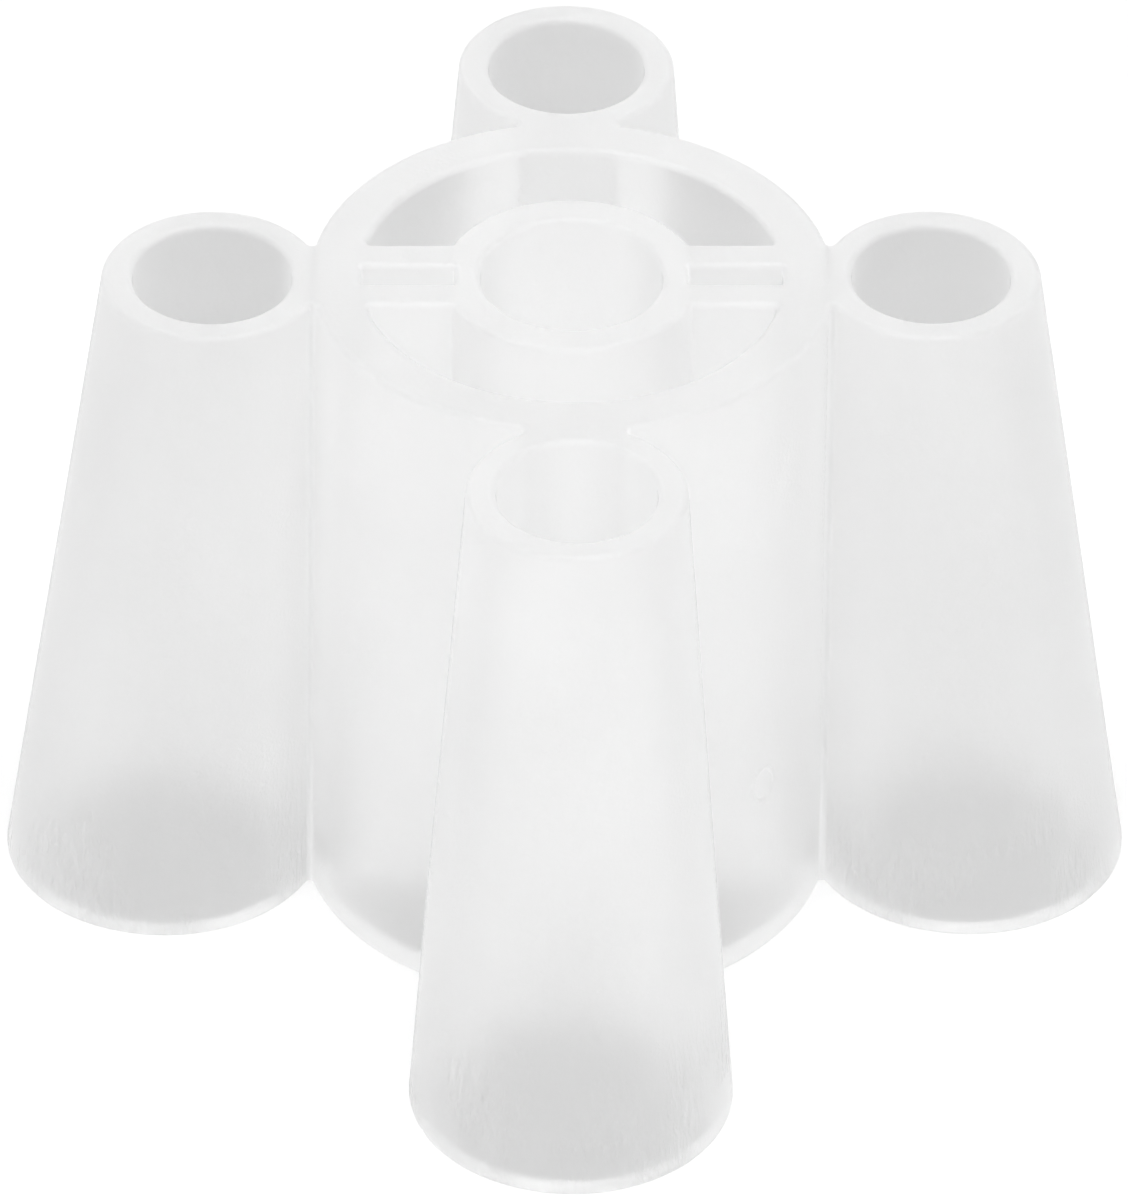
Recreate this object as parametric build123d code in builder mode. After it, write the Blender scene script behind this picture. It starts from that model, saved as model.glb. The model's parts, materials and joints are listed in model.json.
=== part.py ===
"""Four-way silicone brush holder for a spinning brush cleaner.

The holder is one moulding. It is written as the regions that it is made of: a drum, a spindle
socket on the drum's axis, four ribs that carry the socket, and four tapered tubes that grip
brush handles. Each region is its own solid, and neighbours meet face to face.

Millimetres, +Z up. The origin is the centre of the base. +X is the right tube, -Y the front one.
"""

import os

from build123d import *

# Driving dimensions
HEIGHT = 40.0

# Drum: a thick ring, 1 mm wider at the foot than at the top
DRUM_TOP_RADIUS = 14.55
DRUM_FOOT_RADIUS = 15.05
DRUM_WALL = 2.8

# Spindle socket: a straight tube on the drum's axis
SOCKET_RADIUS = 7.2
SOCKET_BORE_RADIUS = 5.1
SLOT_END = 6.5  # distance from the axis of the flat that closes each key slot

# Ribs: two parallel webs on each side of the socket, with a key slot between them
KEY_SLOT_WIDTH = 1.6
RIB_THICKNESS = 2.1

# Brush tubes: each tapers towards its mouth, and the flank on the drum stands upright
TUBE_FOOT_RADIUS = 9.1
TUBE_FOOT_PITCH = 22.9  # from the drum's axis to the tube's centre
TUBE_MOUTH_RADIUS = 6.05
TUBE_MOUTH_PITCH = 20.0
TUBE_FOOT_WALL = 1.75
GRIP_RADIUS = 4.45
GRIP_LENGTH = 5.0  # straight part of the bore, at the mouth

# Moulded edge radii
RIM_ROUND = 0.4
LEAD_IN = 0.3
SAME_RADIUS = 0.01

TUBE_ANGLES = {"right": 0, "rear": 90, "left": 180, "front": 270}
RIB_SIDES = {
    "right_rear": (1, 1),
    "left_rear": (-1, 1),
    "left_front": (-1, -1),
    "right_front": (1, -1),
}

GRIP_START = HEIGHT - GRIP_LENGTH
DRUM_TOP_CAVITY = DRUM_TOP_RADIUS - DRUM_WALL
DRUM_FOOT_CAVITY = DRUM_FOOT_RADIUS - DRUM_WALL


def top_rim(sub_part, radius):
    """The round edge of that radius in a piece's top face."""
    rims = sub_part.edges().group_by(Axis.Z)[-1].filter_by(GeomType.CIRCLE)
    return rims.filter_by(lambda rim: abs(rim.radius - radius) < SAME_RADIUS)[0]


def on_tube_axis(angle, pitch, height):
    """A level plane centred on a brush tube, with its x axis pointing away from the drum."""
    outward = Vector(1, 0, 0).rotate(Axis.Z, angle)
    return Plane(origin=outward * pitch + Vector(0, 0, height), x_dir=outward)


# Envelope of the drum and its cavity, which the ribs and the tubes are shaped by

with BuildPart() as drum_envelope:
    with BuildSketch(Plane.XZ):
        Polygon(
            (0, 0),
            (DRUM_FOOT_RADIUS, 0),
            (DRUM_TOP_RADIUS, HEIGHT),
            (0, HEIGHT),
            align=None,
        )
    revolve(axis=Axis.Z)

with BuildPart() as drum_cavity:
    with BuildSketch(Plane.XZ):
        Polygon(
            (0, 0),
            (DRUM_FOOT_CAVITY, 0),
            (DRUM_TOP_CAVITY, HEIGHT),
            (0, HEIGHT),
            align=None,
        )
    revolve(axis=Axis.Z)


# Drum wall

with BuildPart() as drum_wall:
    add(drum_envelope.part)
    add(drum_cavity.part, mode=Mode.SUBTRACT)


# Spindle socket, with a flat on each side where a key slot ends

with BuildPart() as spindle_socket:
    with BuildSketch(Plane.XY):
        Circle(SOCKET_RADIUS)
        Circle(SOCKET_BORE_RADIUS, mode=Mode.SUBTRACT)
    extrude(amount=HEIGHT)
    fillet(top_rim(spindle_socket, SOCKET_BORE_RADIUS), LEAD_IN)
    with BuildSketch(Plane.XY):
        with Locations((SLOT_END, 0)):
            Rectangle(SOCKET_RADIUS, KEY_SLOT_WIDTH, align=(Align.MIN, Align.CENTER))
        with Locations((-SLOT_END, 0)):
            Rectangle(SOCKET_RADIUS, KEY_SLOT_WIDTH, align=(Align.MAX, Align.CENTER))
    extrude(amount=HEIGHT, mode=Mode.SUBTRACT)


def build_rib(side_x, side_y):
    """One web from the socket's wall to the drum's. side_x and side_y are 1 or -1."""
    middle_y = side_y * (KEY_SLOT_WIDTH + RIB_THICKNESS) / 2
    middle_x = side_x * DRUM_FOOT_RADIUS / 2
    with BuildPart() as rib:
        with BuildSketch(Plane.XY):
            with Locations((middle_x, middle_y)):
                Rectangle(DRUM_FOOT_RADIUS, RIB_THICKNESS)
            Circle(SOCKET_RADIUS, mode=Mode.SUBTRACT)
        extrude(amount=HEIGHT)
        add(drum_cavity.part, mode=Mode.INTERSECT)
    return rib


def build_brush_tube(angle):
    """One leaning, tapered tube, open at both ends, cut to sit on the drum."""
    foot = on_tube_axis(angle, TUBE_FOOT_PITCH, 0)
    grip_start = on_tube_axis(angle, TUBE_MOUTH_PITCH, GRIP_START)
    mouth = on_tube_axis(angle, TUBE_MOUTH_PITCH, HEIGHT)
    with BuildPart() as tube:
        with BuildSketch(foot):
            Circle(TUBE_FOOT_RADIUS)
        with BuildSketch(mouth):
            Circle(TUBE_MOUTH_RADIUS)
        loft(ruled=True)
        with BuildSketch(grip_start):
            Circle(GRIP_RADIUS)
        extrude(amount=GRIP_LENGTH, mode=Mode.SUBTRACT)
        fillet(top_rim(tube, GRIP_RADIUS), LEAD_IN)
        with BuildSketch(foot):
            Circle(TUBE_FOOT_RADIUS - TUBE_FOOT_WALL)
        with BuildSketch(grip_start):
            Circle(GRIP_RADIUS)
        loft(ruled=True, mode=Mode.SUBTRACT)
        add(drum_envelope.part, mode=Mode.SUBTRACT)
        fillet(top_rim(tube, TUBE_MOUTH_RADIUS), RIM_ROUND)
    return tube


pieces = {"drum_wall": drum_wall, "spindle_socket": spindle_socket}
for place, (side_x, side_y) in RIB_SIDES.items():
    pieces[f"rib_{place}"] = build_rib(side_x, side_y)
for place, angle in TUBE_ANGLES.items():
    pieces[f"brush_tube_{place}"] = build_brush_tube(angle)

os.makedirs("parts", exist_ok=True)
for name, piece in pieces.items():
    piece.part.label = name
    export_step(piece.part, f"parts/{name}.step")
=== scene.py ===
"""Looks of the four-way silicone brush holder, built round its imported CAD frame.

The holder is one moulding. Each region of it is a closed mesh of its own, and neighbours share
every point of the surface where they are bonded. That surface has a clear material, so that
light passes from one region to the next as it does in one body. Metres, +Z up.
"""

import json
import math

import bpy
import numpy as np
from mathutils import Matrix, Vector, noise
from mathutils.geometry import delaunay_2d_cdt


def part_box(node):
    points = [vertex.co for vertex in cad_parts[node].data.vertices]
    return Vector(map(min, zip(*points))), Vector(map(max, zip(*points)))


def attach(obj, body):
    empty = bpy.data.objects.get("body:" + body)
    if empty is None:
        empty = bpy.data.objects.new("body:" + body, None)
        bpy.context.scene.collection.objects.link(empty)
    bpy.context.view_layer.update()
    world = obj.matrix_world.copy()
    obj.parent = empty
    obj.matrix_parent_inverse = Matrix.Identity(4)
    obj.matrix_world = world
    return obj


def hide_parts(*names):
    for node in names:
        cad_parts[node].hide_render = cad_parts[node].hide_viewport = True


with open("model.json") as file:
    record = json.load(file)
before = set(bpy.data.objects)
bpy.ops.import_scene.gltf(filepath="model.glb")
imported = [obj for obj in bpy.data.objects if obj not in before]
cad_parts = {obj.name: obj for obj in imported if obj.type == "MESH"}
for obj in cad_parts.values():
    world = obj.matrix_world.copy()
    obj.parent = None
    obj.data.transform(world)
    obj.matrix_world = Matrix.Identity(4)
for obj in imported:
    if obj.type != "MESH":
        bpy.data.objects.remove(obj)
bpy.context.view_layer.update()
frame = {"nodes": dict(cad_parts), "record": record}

MM = 0.001
QUARTER = math.pi / 2

SAME_HEIGHT = 0.001 * MM  # heights closer than this are the same
PICK_MARGIN = 0.1 * MM  # keeps vertices of a neighbouring face out

# ---------------------------------------------------------------- sizes, read from the frame


def points_at(node, height):
    """x and y of the CAD node's vertices at one height."""
    vertices = frame["nodes"][node].data.vertices
    return np.array([v.co.xy for v in vertices if abs(v.co.z - height) < SAME_HEIGHT])


def radii_at(node, height, centre_x=0.0):
    """Least and greatest distance from a vertical line to the CAD node's vertices at one height."""
    distances = np.hypot(*(points_at(node, height) - (centre_x, 0)).T)
    return distances.min(), distances.max()


grip = next(m for m in frame["record"]["mounts"] if m["name"] == "brush_grip_right")

RIM_ROUND = 0.4 * MM
FOOT_ROUND = 0.15 * MM
CREASE_ROUND = 0.25 * MM  # where two forms meet
SLOT_ROUND = 0.15 * MM  # the key slots' corners
GRIP_LENGTH = 5 * MM

# The oval that the mould's gate left low on the drum, between the front and right tubes
GATE_ANGLE = math.radians(-43)
GATE_HEIGHT = 11.8 * MM
GATE_HALF_WIDTH = 0.85 * MM
GATE_HALF_TALL = 1.15 * MM
GATE_LINE = 0.18 * MM  # half the width of its raised line
GATE_RELIEF = 0.1 * MM
GATE_MARGIN = 1.3  # how far the fine steps reach, as a share of the mark's size

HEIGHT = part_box("drum_wall")[1].z
CAVITY_FOOT, DRUM_FOOT = radii_at("drum_wall", 0)
CAVITY_TOP, DRUM_TOP = radii_at("drum_wall", HEIGHT)
SOCKET_BORE, SOCKET = radii_at("spindle_socket", 0)

SLOT_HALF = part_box("rib_right_rear")[0].y
RIB_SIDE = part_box("rib_right_rear")[1].y
socket_foot = points_at("spindle_socket", 0)
at_slot = abs(socket_foot[:, 1]) < SLOT_HALF + PICK_MARGIN
off_bore = socket_foot[:, 0] > SOCKET_BORE + PICK_MARGIN
SLOT_END = socket_foot[at_slot & off_bore, 0].min()

TUBE_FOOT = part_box("brush_tube_right")[1].y
TUBE_FOOT_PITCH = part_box("brush_tube_right")[1].x - TUBE_FOOT
BORE_FOOT = radii_at("brush_tube_right", 0, TUBE_FOOT_PITCH)[0]
TUBE_TOP_PITCH = grip["pos_m"][0]
TUBE_TOP = points_at("brush_tube_right", HEIGHT)[:, 0].max() + RIM_ROUND - TUBE_TOP_PITCH
GRIP = grip["dims"]["r_mm"] * MM

TUBE_TURNS = {"right": 0, "rear": 1, "left": 2, "front": 3}  # quarter turns

# Steps along the outlines
BOND_STEPS = 10  # round the drum, under half of a tube
FREE_STEPS = 44  # round the drum, between two tubes
CREASE_STEPS = 6
TUBE_STEPS = 120
SLOT_STEPS = 4
RIB_BOND_STEPS = 14
POCKET_STEPS = 46
RIB_FACE_STEPS = 10
NECK_STEPS = 12
NOTCH_STEPS = 3
ROUND_STEPS = 8
WALL_STEPS = 26
BORE_STEPS = 120
GATE_STEPS = 44  # across the gate mark, each way

# ---------------------------------------------------------------- the cross-section's outlines


def mix(a, b, t):
    return a + (b - a) * t


class Section:
    """The moulding's cross-section at one height, with every wall set back by inset."""

    def __init__(self, height, inset):
        t = height / HEIGHT
        self.inset = inset
        self.drum = mix(DRUM_FOOT, DRUM_TOP, t)
        self.cavity = mix(CAVITY_FOOT, CAVITY_TOP, t)
        self.tube = mix(TUBE_FOOT, TUBE_TOP, t)
        self.pitch = mix(TUBE_FOOT_PITCH, TUBE_TOP_PITCH, t)
        flare = max(0.0, 1 - height / (HEIGHT - GRIP_LENGTH))
        self.bore = mix(GRIP, BORE_FOOT, flare)
        self.bore_pitch = mix(TUBE_TOP_PITCH, TUBE_FOOT_PITCH, flare)
        # Centres of the fillets, which don't move as the walls are set back
        reach = self.drum + CREASE_ROUND
        crease_x = (reach**2 - (self.tube + CREASE_ROUND) ** 2 + self.pitch**2) / (2 * self.pitch)
        self.crease = (crease_x, math.sqrt(reach**2 - crease_x**2))
        side = RIB_SIDE + CREASE_ROUND
        self.pocket = (math.sqrt((self.cavity - CREASE_ROUND) ** 2 - side**2), side)
        self.neck = (math.sqrt((SOCKET + CREASE_ROUND) ** 2 - side**2), side)
        side = SLOT_HALF - SLOT_ROUND
        self.slot = (math.sqrt((self.cavity - SLOT_ROUND) ** 2 - side**2), side)


def bearing(point):
    return math.atan2(point[1], point[0])


def arc(centre, radius, start, stop, steps):
    """Points from angle start to angle stop, without the last one."""
    angles = np.linspace(start, stop, steps, endpoint=False)
    return np.array(centre) + radius * np.column_stack((np.cos(angles), np.sin(angles)))


def line(a, b, steps):
    """Points from a to b, without the last one."""
    t = np.linspace(0, 1, steps, endpoint=False)[:, None]
    return mix(np.array(a), np.array(b), t)


def joined(runs):
    """One loop's points, and for each step from a point to the next, whether it is bonded."""
    points = np.vstack([run for run, _ in runs])
    bonded = np.concatenate([np.full(len(run), is_bonded) for run, is_bonded in runs])
    return points, bonded


def whole_loop(quarter, end):
    """A loop from its first quarter, by mirroring it. end is the quarter's last point."""
    points, bonded = quarter
    back = np.vstack((points[1:], end))[::-1] * (-1, 1)
    half = np.vstack((points, back))
    half_bonded = np.concatenate((bonded, bonded[::-1]))
    return np.vstack((half, -half)), np.concatenate((half_bonded, half_bonded))


def drum_outline(s):
    """The drum's outside. Mirroring gives every quarter the gate mark's fine steps."""
    radius = s.drum - s.inset
    bond = bearing(s.crease)
    gate = abs(GATE_ANGLE)
    reach = GATE_MARGIN * GATE_HALF_WIDTH / DRUM_FOOT
    quarter = joined([
        (arc((0, 0), radius, 0, bond, BOND_STEPS), True),
        (arc((0, 0), radius, bond, gate - reach, FREE_STEPS // 2), False),
        (arc((0, 0), radius, gate - reach, gate + reach, GATE_STEPS), False),
        (arc((0, 0), radius, gate + reach, QUARTER - bond, FREE_STEPS // 2), False),
        (arc((0, 0), radius, QUARTER - bond, QUARTER, BOND_STEPS), True),
    ])
    return whole_loop(quarter, (0, radius))


def cavity_outline(s):
    radius = s.cavity + s.inset
    quarter = joined([
        (arc((0, 0), radius, 0, bearing(s.slot), SLOT_STEPS), False),
        (arc((0, 0), radius, bearing(s.slot), bearing(s.pocket), RIB_BOND_STEPS), True),
        (arc((0, 0), radius, bearing(s.pocket), QUARTER, POCKET_STEPS), False),
    ])
    return whole_loop(quarter, (0, radius))


def neck_bond(s):
    """Angles on the socket between which the right rear rib is bonded to it."""
    return math.asin((SLOT_HALF + s.inset) / (SOCKET - s.inset)), bearing(s.neck)


def socket_outline(s):
    radius = SOCKET - s.inset
    flat = SLOT_END - s.inset
    corner = (SLOT_END + SLOT_ROUND, SLOT_HALF - SLOT_ROUND)
    low, high = neck_bond(s)
    slot_side = SLOT_HALF + s.inset
    quarter = joined([
        (line((flat, 0), (flat, corner[1]), SLOT_STEPS), False),
        (arc(corner, SLOT_ROUND + s.inset, math.pi, QUARTER, CREASE_STEPS), False),
        (line((corner[0], slot_side), (radius * math.cos(low), slot_side), NOTCH_STEPS), False),
        (arc((0, 0), radius, low, high, NECK_STEPS), True),
        (arc((0, 0), radius, high, QUARTER, POCKET_STEPS), False),
    ])
    return whole_loop(quarter, (0, radius))


def socket_bore_outline(s):
    return joined([(arc((0, 0), SOCKET_BORE + s.inset, 0, 2 * math.pi, BORE_STEPS), False)])


def tube_outline(s):
    """The right tube, from its front crease round the outside and back along the drum."""
    x, y = s.crease
    on_tube = math.atan2(y, x - s.pitch)
    fillet = CREASE_ROUND + s.inset
    drum = s.drum - s.inset
    bond = bearing(s.crease)
    return joined([
        (arc((s.pitch, 0), s.tube - s.inset, -on_tube, on_tube, TUBE_STEPS), False),
        (arc((x, y), fillet, on_tube - math.pi, bond - math.pi, CREASE_STEPS), False),
        (arc((0, 0), drum, bond, -bond, 2 * BOND_STEPS), True),
        (arc((x, -y), fillet, math.pi - bond, math.pi - on_tube, CREASE_STEPS), False),
    ])


def tube_bore_outline(s):
    return joined([(arc((s.bore_pitch, 0), s.bore + s.inset, 0, 2 * math.pi, BORE_STEPS), False)])


def rib_outline(s):
    """The right rear rib: along the key slot, up the drum, back along the pocket."""
    cavity = s.cavity + s.inset
    slot_face = SLOT_HALF + s.inset
    pocket_face = RIB_SIDE - s.inset
    slot, pocket = bearing(s.slot), bearing(s.pocket)
    socket = SOCKET - s.inset
    low, high = neck_bond(s)
    return joined([
        (line((socket * math.cos(low), slot_face), (s.slot[0], slot_face), RIB_FACE_STEPS), False),
        (arc(s.slot, SLOT_ROUND + s.inset, QUARTER, slot, CREASE_STEPS), False),
        (arc((0, 0), cavity, slot, pocket, RIB_BOND_STEPS), True),
        (arc(s.pocket, CREASE_ROUND + s.inset, pocket, -QUARTER, CREASE_STEPS), False),
        (line((s.pocket[0], pocket_face), (s.neck[0], pocket_face), RIB_FACE_STEPS), False),
        (arc(s.neck, CREASE_ROUND + s.inset, -QUARTER, high - math.pi, CREASE_STEPS), False),
        (arc((0, 0), socket, high, low, NECK_STEPS), True),
    ])


def levels(with_gate):
    """Heights and insets of a wall's rings, from the foot's rounded edge to the rim's."""
    turn = np.linspace(0, QUARTER, ROUND_STEPS + 1)
    foot = [(FOOT_ROUND * (1 - math.sin(a)), FOOT_ROUND * (1 - math.cos(a))) for a in turn[::-1]]
    wall_heights = np.linspace(FOOT_ROUND, HEIGHT - RIM_ROUND, WALL_STEPS + 1)[1:-1]
    if with_gate:
        low = GATE_HEIGHT - GATE_MARGIN * GATE_HALF_TALL
        high = GATE_HEIGHT + GATE_MARGIN * GATE_HALF_TALL
        away = wall_heights[(wall_heights < low) | (wall_heights > high)]
        wall_heights = np.sort(np.concatenate((away, np.linspace(low, high, GATE_STEPS))))
    wall = [(z, 0.0) for z in wall_heights]
    rim = [(HEIGHT - RIM_ROUND * (1 - math.sin(a)), RIM_ROUND * (1 - math.cos(a))) for a in turn]
    return [*foot, *wall, *rim]


# ---------------------------------------------------------------- meshes

DRIFT_RATE = 45  # per metre, how fast the drift changes along a wall
DRIFT_MM = 0.05
SAME_POINT = 1e-9  # metres
SHARP_ANGLE = math.radians(40)

noise.seed_set(1)  # unset, the noise would differ on each run


def wobble(point):
    """Silicone never comes out of its mould quite true: a slow sideways drift of the walls."""
    drift = noise.noise_vector(point * DRIFT_RATE) * DRIFT_MM * MM
    drift.z = 0
    return point + drift


def gate_relief(point):
    """Raises the gate mark's oval line on the drum's outside."""
    radius = math.hypot(point.x, point.y)
    along = (math.atan2(point.y, point.x) - GATE_ANGLE) * radius / GATE_HALF_WIDTH
    up = (point.z - GATE_HEIGHT) / GATE_HALF_TALL
    off_line = abs(math.hypot(along, up) - 1) * GATE_HALF_WIDTH / GATE_LINE
    if radius < (DRUM_TOP + CAVITY_TOP) / 2 or off_line >= 1:
        return point
    rise = GATE_RELIEF * (1 + math.cos(math.pi * off_line)) / 2
    return point + Vector((point.x, point.y, 0)) * rise / radius


def stacked(outline, with_gate):
    """The outline's points at every level, and which steps are bonded."""
    rings = []
    for height, inset in levels(with_gate):
        points, bonded = outline(Section(height, inset))
        rings.append(np.column_stack((points, np.full(len(points), height))))
    return np.array(rings), bonded


def wall_faces(rings, bonded, first, inward):
    """Quads round a stack of rings, and the material index of each."""
    faces, slots = [], []
    level_count, ring_size = rings.shape[:2]
    for level in range(level_count - 1):
        for i in range(ring_size):
            j = (i + 1) % ring_size
            low, high = first + level * ring_size, first + (level + 1) * ring_size
            quad = (low + i, low + j, high + j, high + i)
            faces.append(quad[::-1] if inward else quad)
            slots.append(int(bonded[i]))
    return faces, slots


def cap_faces(loops):
    """Triangles that fill the first loop of a flat end, less the second, as indices into both."""
    flat = [Vector(p[:2]) for loop in loops for p in loop]
    edges, first = [], 0
    for loop in loops:
        edges += [(first + i, first + (i + 1) % len(loop)) for i in range(len(loop))]
        first += len(loop)
    points, _, triangles, origins, _, _ = delaunay_2d_cdt(flat, edges, [], 1, SAME_POINT)
    hole = len(loops[0])
    faces = [tuple(origins[i][0] for i in triangle) for triangle in triangles]
    return [face for face in faces if min(face) < hole]


def build_piece(name, outline, hole=None, place=None, with_gate=False):
    """A closed mesh between an outline and its hole, or a solid one without a hole."""
    stacks = [(stacked(outline, with_gate), False)]
    if hole:
        stacks.append((stacked(hole, with_gate), True))
    faces, slots, foot, rim = [], [], [], []
    first = 0
    for (rings, bonded), inward in stacks:
        more_faces, more_slots = wall_faces(rings, bonded, first, inward)
        faces += more_faces
        slots += more_slots
        ring_size = rings.shape[1]
        foot += range(first, first + ring_size)
        first += rings.shape[0] * ring_size
        rim += range(first - ring_size, first)
    for ring, which, upward in ((foot, 0, False), (rim, -1, True)):
        for face in cap_faces([rings[which] for (rings, _), _ in stacks]):
            face = [ring[i] for i in face]
            faces.append(face if upward else face[::-1])
            slots.append(0)
    place = place or Matrix.Identity(4)
    if place.determinant() < 0:
        faces = [face[::-1] for face in faces]
    points = [place @ Vector(p) for (rings, _), _ in stacks for p in rings.reshape(-1, 3)]
    if with_gate:
        points = [gate_relief(p) for p in points]
    mesh = bpy.data.meshes.new(name)
    mesh.from_pydata([wobble(p) for p in points], [], faces)
    mesh.polygons.foreach_set("material_index", slots)
    mesh.set_sharp_from_angle(angle=SHARP_ANGLE)
    piece = bpy.data.objects.new(name, mesh)
    bpy.context.scene.collection.objects.link(piece)
    weighted = piece.modifiers.new("weighted_normals", "WEIGHTED_NORMAL")
    weighted.keep_sharp = True
    return piece


# ---------------------------------------------------------------- materials

CLEARER = (0.85, 0.85, 0.85, 1)
MILKIER = (0.96, 0.96, 0.96, 1)
MILKY_GLOW = 0.14  # stands in for the light that milky silicone scatters from inside
SILICONE_IOR = 1.41
TRANSMISSION = 0.75

NOISE_SPAN = (0.3, 0.7)  # where most of a noise's values lie
CLOUD_SIZE = 9 * MM
CLOUD_MILK = 0.3
FROST_SIZE = 0.22 * MM
FROST_ROUGHNESS = (0.3, 0.42)
FROST_RELIEF = 0.25
RELIEF_DEPTH = 0.1 * MM

FOOT_WEAR_HEIGHT = 13 * MM
TUBES_START = (DRUM_FOOT, DRUM_FOOT + 1 * MM)  # distances from the axis
PATCH_SIZE = 7 * MM
PATCH_EDGE = (0.42, 0.6)
SPECK_SIZE = 0.3 * MM
SPECK_EDGE = (0.62, 0.72)
RIPPLE_SIZE = 0.4 * MM
RIPPLE_STRETCH = (1, 1, 3.5)
RIPPLE_RELIEF = 3.0
WORN_ROUGHNESS = 0.12  # on top of the frost's

FOOT_LIGHT_HEIGHT = 1.1 * MM  # of the ragged whiter band round the foot: painted light, standing in for the floor's light that comes in through the foot
FOOT_LIGHT_EDGE = (FOOT_LIGHT_HEIGHT, 1.2 * FOOT_LIGHT_HEIGHT)
FOOT_LIGHT_GRAIN = 0.6 * MM
FOOT_LIGHT_MILK = 0.5


class Tree:
    """Short calls that add and link a material's nodes. An input may be a socket or a value."""

    def __init__(self, material):
        material.use_nodes = True
        self.nodes, self.links = material.node_tree.nodes, material.node_tree.links
        self.shader = self.nodes["Principled BSDF"]
        self.here = self.nodes.new("ShaderNodeTexCoord").outputs["Object"]

    def add(self, kind, inputs, output, **settings):
        """Adds a node of a kind, and returns one of its outputs."""
        node = self.nodes.new(kind)
        for setting, value in settings.items():
            setattr(node, setting, value)
        for key, value in inputs.items():
            if isinstance(value, bpy.types.NodeSocket):
                self.links.new(value, node.inputs[key])
            else:
                node.inputs[key].default_value = value
        return node.outputs[output]

    def noise(self, size, detail=2.0, stretch=(1, 1, 1)):
        """Noise from 0 to 1 with features of a size, stretched along the axes."""
        scaling = {0: self.here, 1: [1 / (size * k) for k in stretch]}
        scaled = self.add("ShaderNodeVectorMath", scaling, "Vector", operation="MULTIPLY")
        inputs = {"Vector": scaled, "Scale": 1.0, "Detail": detail}
        return self.add("ShaderNodeTexNoise", inputs, "Fac")

    def ranged(self, value, span, to_span):
        """The value eased from one span into another, and kept inside it."""
        inputs = {"Value": value, "From Min": span[0], "From Max": span[1],
                  "To Min": to_span[0], "To Max": to_span[1]}
        return self.add("ShaderNodeMapRange", inputs, "Result", interpolation_type="SMOOTHSTEP")

    def maths(self, operation, a, b):
        return self.add("ShaderNodeMath", {0: a, 1: b}, "Value", operation=operation)


def silicone_material():
    """Frosted, milky, slightly cloudy silicone, with handling wear on the tubes' feet and a band of
    painted light round every foot.
    """
    material = bpy.data.materials.new("silicone")
    tree = Tree(material)
    shader = tree.shader
    shader.inputs["IOR"].default_value = SILICONE_IOR
    shader.inputs["Transmission Weight"].default_value = TRANSMISSION
    shader.inputs["Emission Color"].default_value = (1, 1, 1, 1)
    shader.inputs["Emission Strength"].default_value = MILKY_GLOW

    height = tree.add("ShaderNodeSeparateXYZ", {0: tree.here}, "Z")
    near_foot = tree.ranged(height, (0.0, FOOT_WEAR_HEIGHT), (1.0, 0.0))
    clouds = tree.noise(CLOUD_SIZE, 3.0)
    frost = tree.noise(FROST_SIZE, 3.0)
    ripples = tree.noise(RIPPLE_SIZE, 2.0, RIPPLE_STRETCH)
    patches = tree.ranged(tree.noise(PATCH_SIZE), PATCH_EDGE, (0.0, 1.0))
    flattening = {0: tree.here, 1: (1, 1, 0)}
    flat = tree.add("ShaderNodeVectorMath", flattening, "Vector", operation="MULTIPLY")
    off_axis = tree.add("ShaderNodeVectorMath", {0: flat}, "Value", operation="LENGTH")
    on_tubes = tree.ranged(off_axis, TUBES_START, (0.0, 1.0))
    wear = tree.maths("MULTIPLY", tree.maths("MULTIPLY", patches, near_foot), on_tubes)
    specks = tree.ranged(tree.noise(SPECK_SIZE), SPECK_EDGE, (0.0, 1.0))
    specks = tree.maths("MULTIPLY", specks, wear)

    # Painted light: a ragged whiter band round every foot, standing in for the floor's light that
    # the foot lets in
    rise = tree.maths("MULTIPLY", tree.noise(FOOT_LIGHT_GRAIN), FOOT_LIGHT_HEIGHT)
    ragged = tree.maths("ADD", height, rise)
    painted_foot_light = tree.ranged(ragged, FOOT_LIGHT_EDGE, (FOOT_LIGHT_MILK, 0.0))

    milk_and_painted_light = tree.ranged(clouds, NOISE_SPAN, (0.0, CLOUD_MILK))
    # The silicone's own milk takes in the painted light at the foot here
    milk_and_painted_light = tree.maths("MAXIMUM", tree.maths("MAXIMUM", milk_and_painted_light, specks), painted_foot_light)
    colours = {"Factor": milk_and_painted_light, "A": CLEARER, "B": MILKIER}
    colour = tree.add("ShaderNodeMix", colours, "Result", data_type="RGBA")
    tree.links.new(colour, shader.inputs["Base Color"])

    roughness = tree.ranged(frost, NOISE_SPAN, FROST_ROUGHNESS)
    roughness = tree.maths("ADD", roughness, tree.maths("MULTIPLY", wear, WORN_ROUGHNESS))
    tree.links.new(roughness, shader.inputs["Roughness"])

    worn = tree.maths("MULTIPLY", ripples, wear)
    relief = tree.maths("ADD", tree.maths("MULTIPLY", frost, FROST_RELIEF),
                        tree.maths("MULTIPLY", worn, RIPPLE_RELIEF))
    bumps = {"Strength": 1.0, "Distance": RELIEF_DEPTH, "Height": relief}
    bump = tree.add("ShaderNodeBump", bumps, "Normal")
    tree.links.new(bump, shader.inputs["Normal"])
    return material


def bonded_material():
    """Clear, for the faces where two regions of the one body meet."""
    material = bpy.data.materials.new("bonded_silicone")
    material.use_nodes = True
    nodes, links = material.node_tree.nodes, material.node_tree.links
    nodes.remove(nodes["Principled BSDF"])
    clear = nodes.new("ShaderNodeBsdfTransparent")
    links.new(clear.outputs["BSDF"], nodes["Material Output"].inputs["Surface"])
    return material


SILICONE = silicone_material()
BONDED = bonded_material()


def dress(piece, node):
    """Gives a piece its materials and its place in the assembly."""
    piece.data.materials.append(SILICONE)
    piece.data.materials.append(BONDED)
    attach(piece, "root")
    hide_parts(node)


# ---------------------------------------------------------------- the moulding

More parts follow.
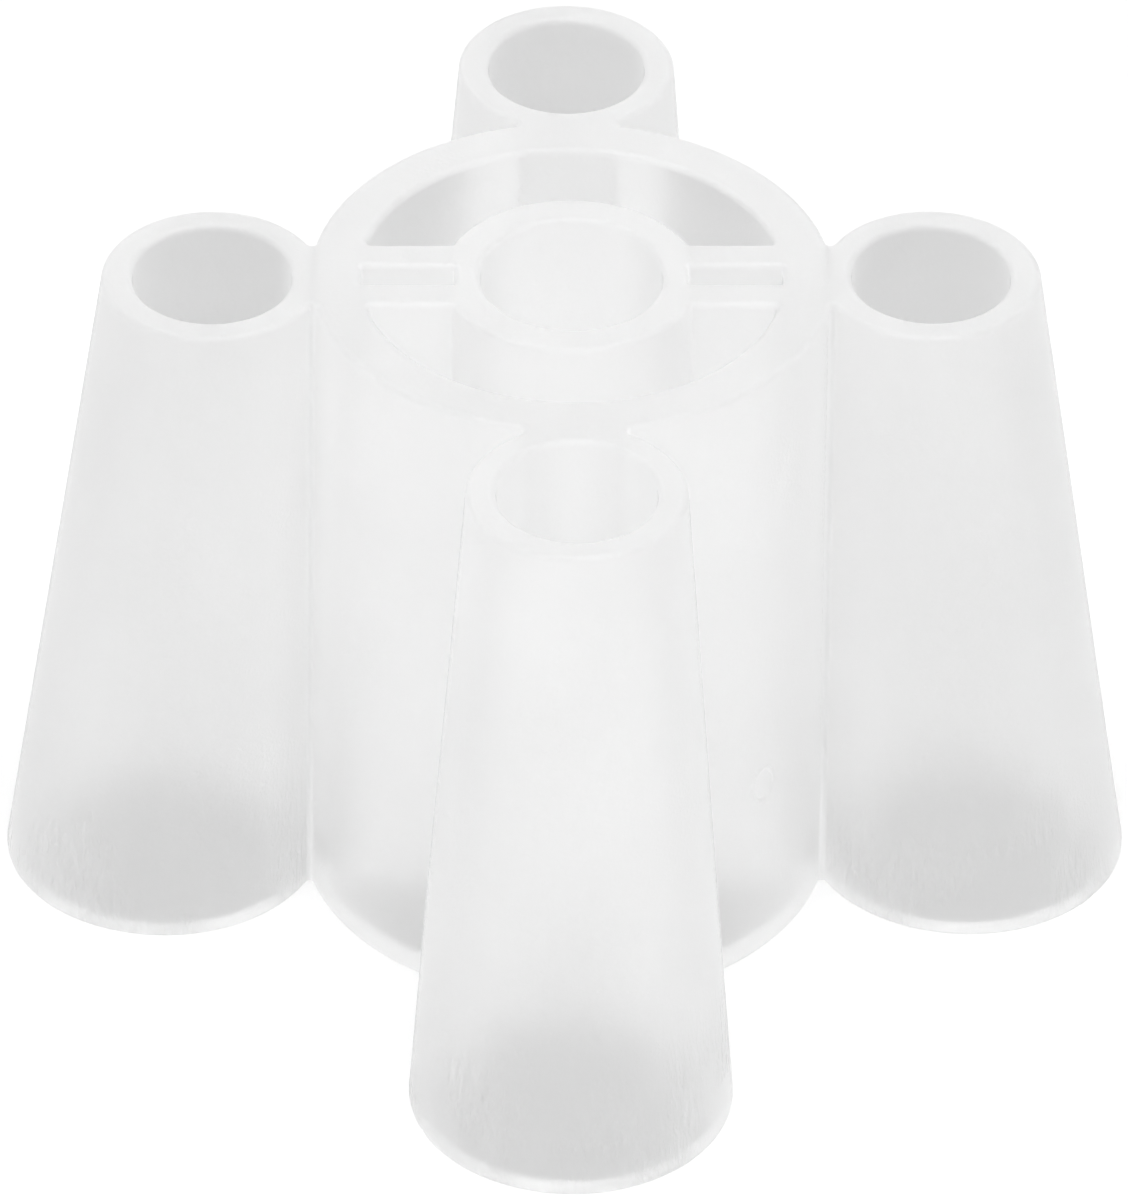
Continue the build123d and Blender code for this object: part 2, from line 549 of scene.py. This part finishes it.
dress(build_piece("drum", drum_outline, cavity_outline, with_gate=True), "drum_wall")
dress(build_piece("socket", socket_outline, socket_bore_outline), "spindle_socket")
for side, turn in TUBE_TURNS.items():
    place = Matrix.Rotation(turn * QUARTER, 4, "Z")
    dress(build_piece(f"tube_{side}", tube_outline, tube_bore_outline, place), f"brush_tube_{side}")
for x_name, x in (("right", 1), ("left", -1)):
    for y_name, y in (("rear", 1), ("front", -1)):
        place = Matrix.Diagonal((x, y, 1, 1))
        rib = f"rib_{x_name}_{y_name}"
        dress(build_piece(f"{rib}_skin", rib_outline, None, place), rib)

# ---------------------------------------------------------------- floor, light and camera

FLOOR_WHITE = 0.95
FLOOR_PAINTED_SHADE = 0.38  # painted shade: the floor's colour for light that comes through the silicone
FLOOR_LIFT = 0.17  # light that only the camera sees, for a pure white backdrop
FLOOR_ROUGHNESS = 0.9
FLOOR_REACH = 2.0
FLOOR_GAP = 0.02 * MM  # below the foot
SKY = 0.58
FRONT_SHADE = 0.3
TOP_PLACE = (0.0, -0.15, 0.6)
TOP_AIM = (0, 0, 0.02)
TOP_SIZE = 0.5
TOP_POWER = 1.9


def floor_material():
    """White paper, made greyer for light that comes through the silicone: painted shade."""
    material = bpy.data.materials.new("floor")
    material.use_nodes = True
    nodes, links = material.node_tree.nodes, material.node_tree.links
    shader = nodes["Principled BSDF"]
    shader.inputs["Roughness"].default_value = FLOOR_ROUGHNESS
    path = nodes.new("ShaderNodeLightPath")
    colour = nodes.new("ShaderNodeMix")
    colour.data_type = "RGBA"
    # Painted shade: rays that have come through the silicone find the floor grey
    links.new(path.outputs["Is Transmission Ray"], colour.inputs["Factor"])
    colour.inputs["A"].default_value = (FLOOR_WHITE, FLOOR_WHITE, FLOOR_WHITE, 1)
    colour.inputs["B"].default_value = (FLOOR_PAINTED_SHADE, FLOOR_PAINTED_SHADE, FLOOR_PAINTED_SHADE, 1)
    links.new(colour.outputs["Result"], shader.inputs["Base Color"])
    lit = nodes.new("ShaderNodeMath")
    lit.operation = "MULTIPLY"
    links.new(path.outputs["Is Camera Ray"], lit.inputs[0])
    lit.inputs[1].default_value = FLOOR_LIFT
    shader.inputs["Emission Color"].default_value = (1, 1, 1, 1)
    links.new(lit.outputs["Value"], shader.inputs["Emission Strength"])
    return material


floor_mesh = bpy.data.meshes.new("floor")
corners = [(FLOOR_REACH * x, FLOOR_REACH * y, 0) for x, y in ((-1, -1), (1, -1), (1, 1), (-1, 1))]
floor_mesh.from_pydata(corners, [], [(0, 1, 2, 3)])
floor_mesh.materials.append(floor_material())
floor = bpy.data.objects.new("floor", floor_mesh)
floor.location.z = -FLOOR_GAP
bpy.context.scene.collection.objects.link(floor)


def studio_world():
    """An even white studio, a little darker on the camera's side."""
    world = bpy.data.worlds.new("studio")
    world.use_nodes = True
    nodes, links = world.node_tree.nodes, world.node_tree.links
    place = nodes.new("ShaderNodeTexCoord")
    axes = nodes.new("ShaderNodeSeparateXYZ")
    shade = nodes.new("ShaderNodeMapRange")
    links.new(place.outputs["Generated"], axes.inputs[0])
    links.new(axes.outputs["Y"], shade.inputs["Value"])
    shade.inputs["From Min"].default_value = -1.0
    shade.inputs["From Max"].default_value = 0.0
    shade.inputs["To Min"].default_value = SKY * (1 - FRONT_SHADE)
    shade.inputs["To Max"].default_value = SKY
    links.new(shade.outputs["Result"], nodes["Background"].inputs["Strength"])
    nodes["Background"].inputs["Color"].default_value = (1, 1, 1, 1)
    return world


bpy.context.scene.world = studio_world()


def softbox(name, place, aim, size, power):
    """A square area light at a place, turned to aim at a point."""
    light = bpy.data.lights.new(name, "AREA")
    light.size = size
    light.energy = power
    lamp = bpy.data.objects.new(name, light)
    lamp.location = place
    lamp.rotation_euler = (Vector(aim) - Vector(place)).to_track_quat("-Z", "Y").to_euler()
    bpy.context.scene.collection.objects.link(lamp)


softbox("top_light", TOP_PLACE, TOP_AIM, TOP_SIZE, TOP_POWER)

# The camera, fitted to the photo's outlines. Lens and sensor are in millimetres
SENSOR = 36
LENS = 415.24
CLIP_START = 0.01
AZIMUTH = math.radians(-1.262)
ELEVATION = math.radians(37.608)
ROLL = math.radians(0.705)
DISTANCE = 0.77916
TARGET = Vector((-0.000291, -0.003830, 0.020029))

level = math.cos(ELEVATION)
back = Vector((math.sin(AZIMUTH) * level, -math.cos(AZIMUTH) * level, math.sin(ELEVATION)))
right = (-back).cross(Vector((0, 0, 1))).normalized()
up = right.cross(-back)
across = right * math.cos(ROLL) + up * math.sin(ROLL)
upright = up * math.cos(ROLL) - right * math.sin(ROLL)
camera_data = bpy.data.cameras.new("camera")
camera_data.sensor_width = SENSOR
camera_data.lens = LENS
camera_data.clip_start = CLIP_START
camera = bpy.data.objects.new("camera", camera_data)
turned = Matrix((across, upright, back)).transposed().to_4x4()
camera.matrix_world = Matrix.Translation(TARGET + back * DISTANCE) @ turned
bpy.context.scene.collection.objects.link(camera)
bpy.context.scene.camera = camera

bpy.context.scene.view_settings.view_transform = "Standard"
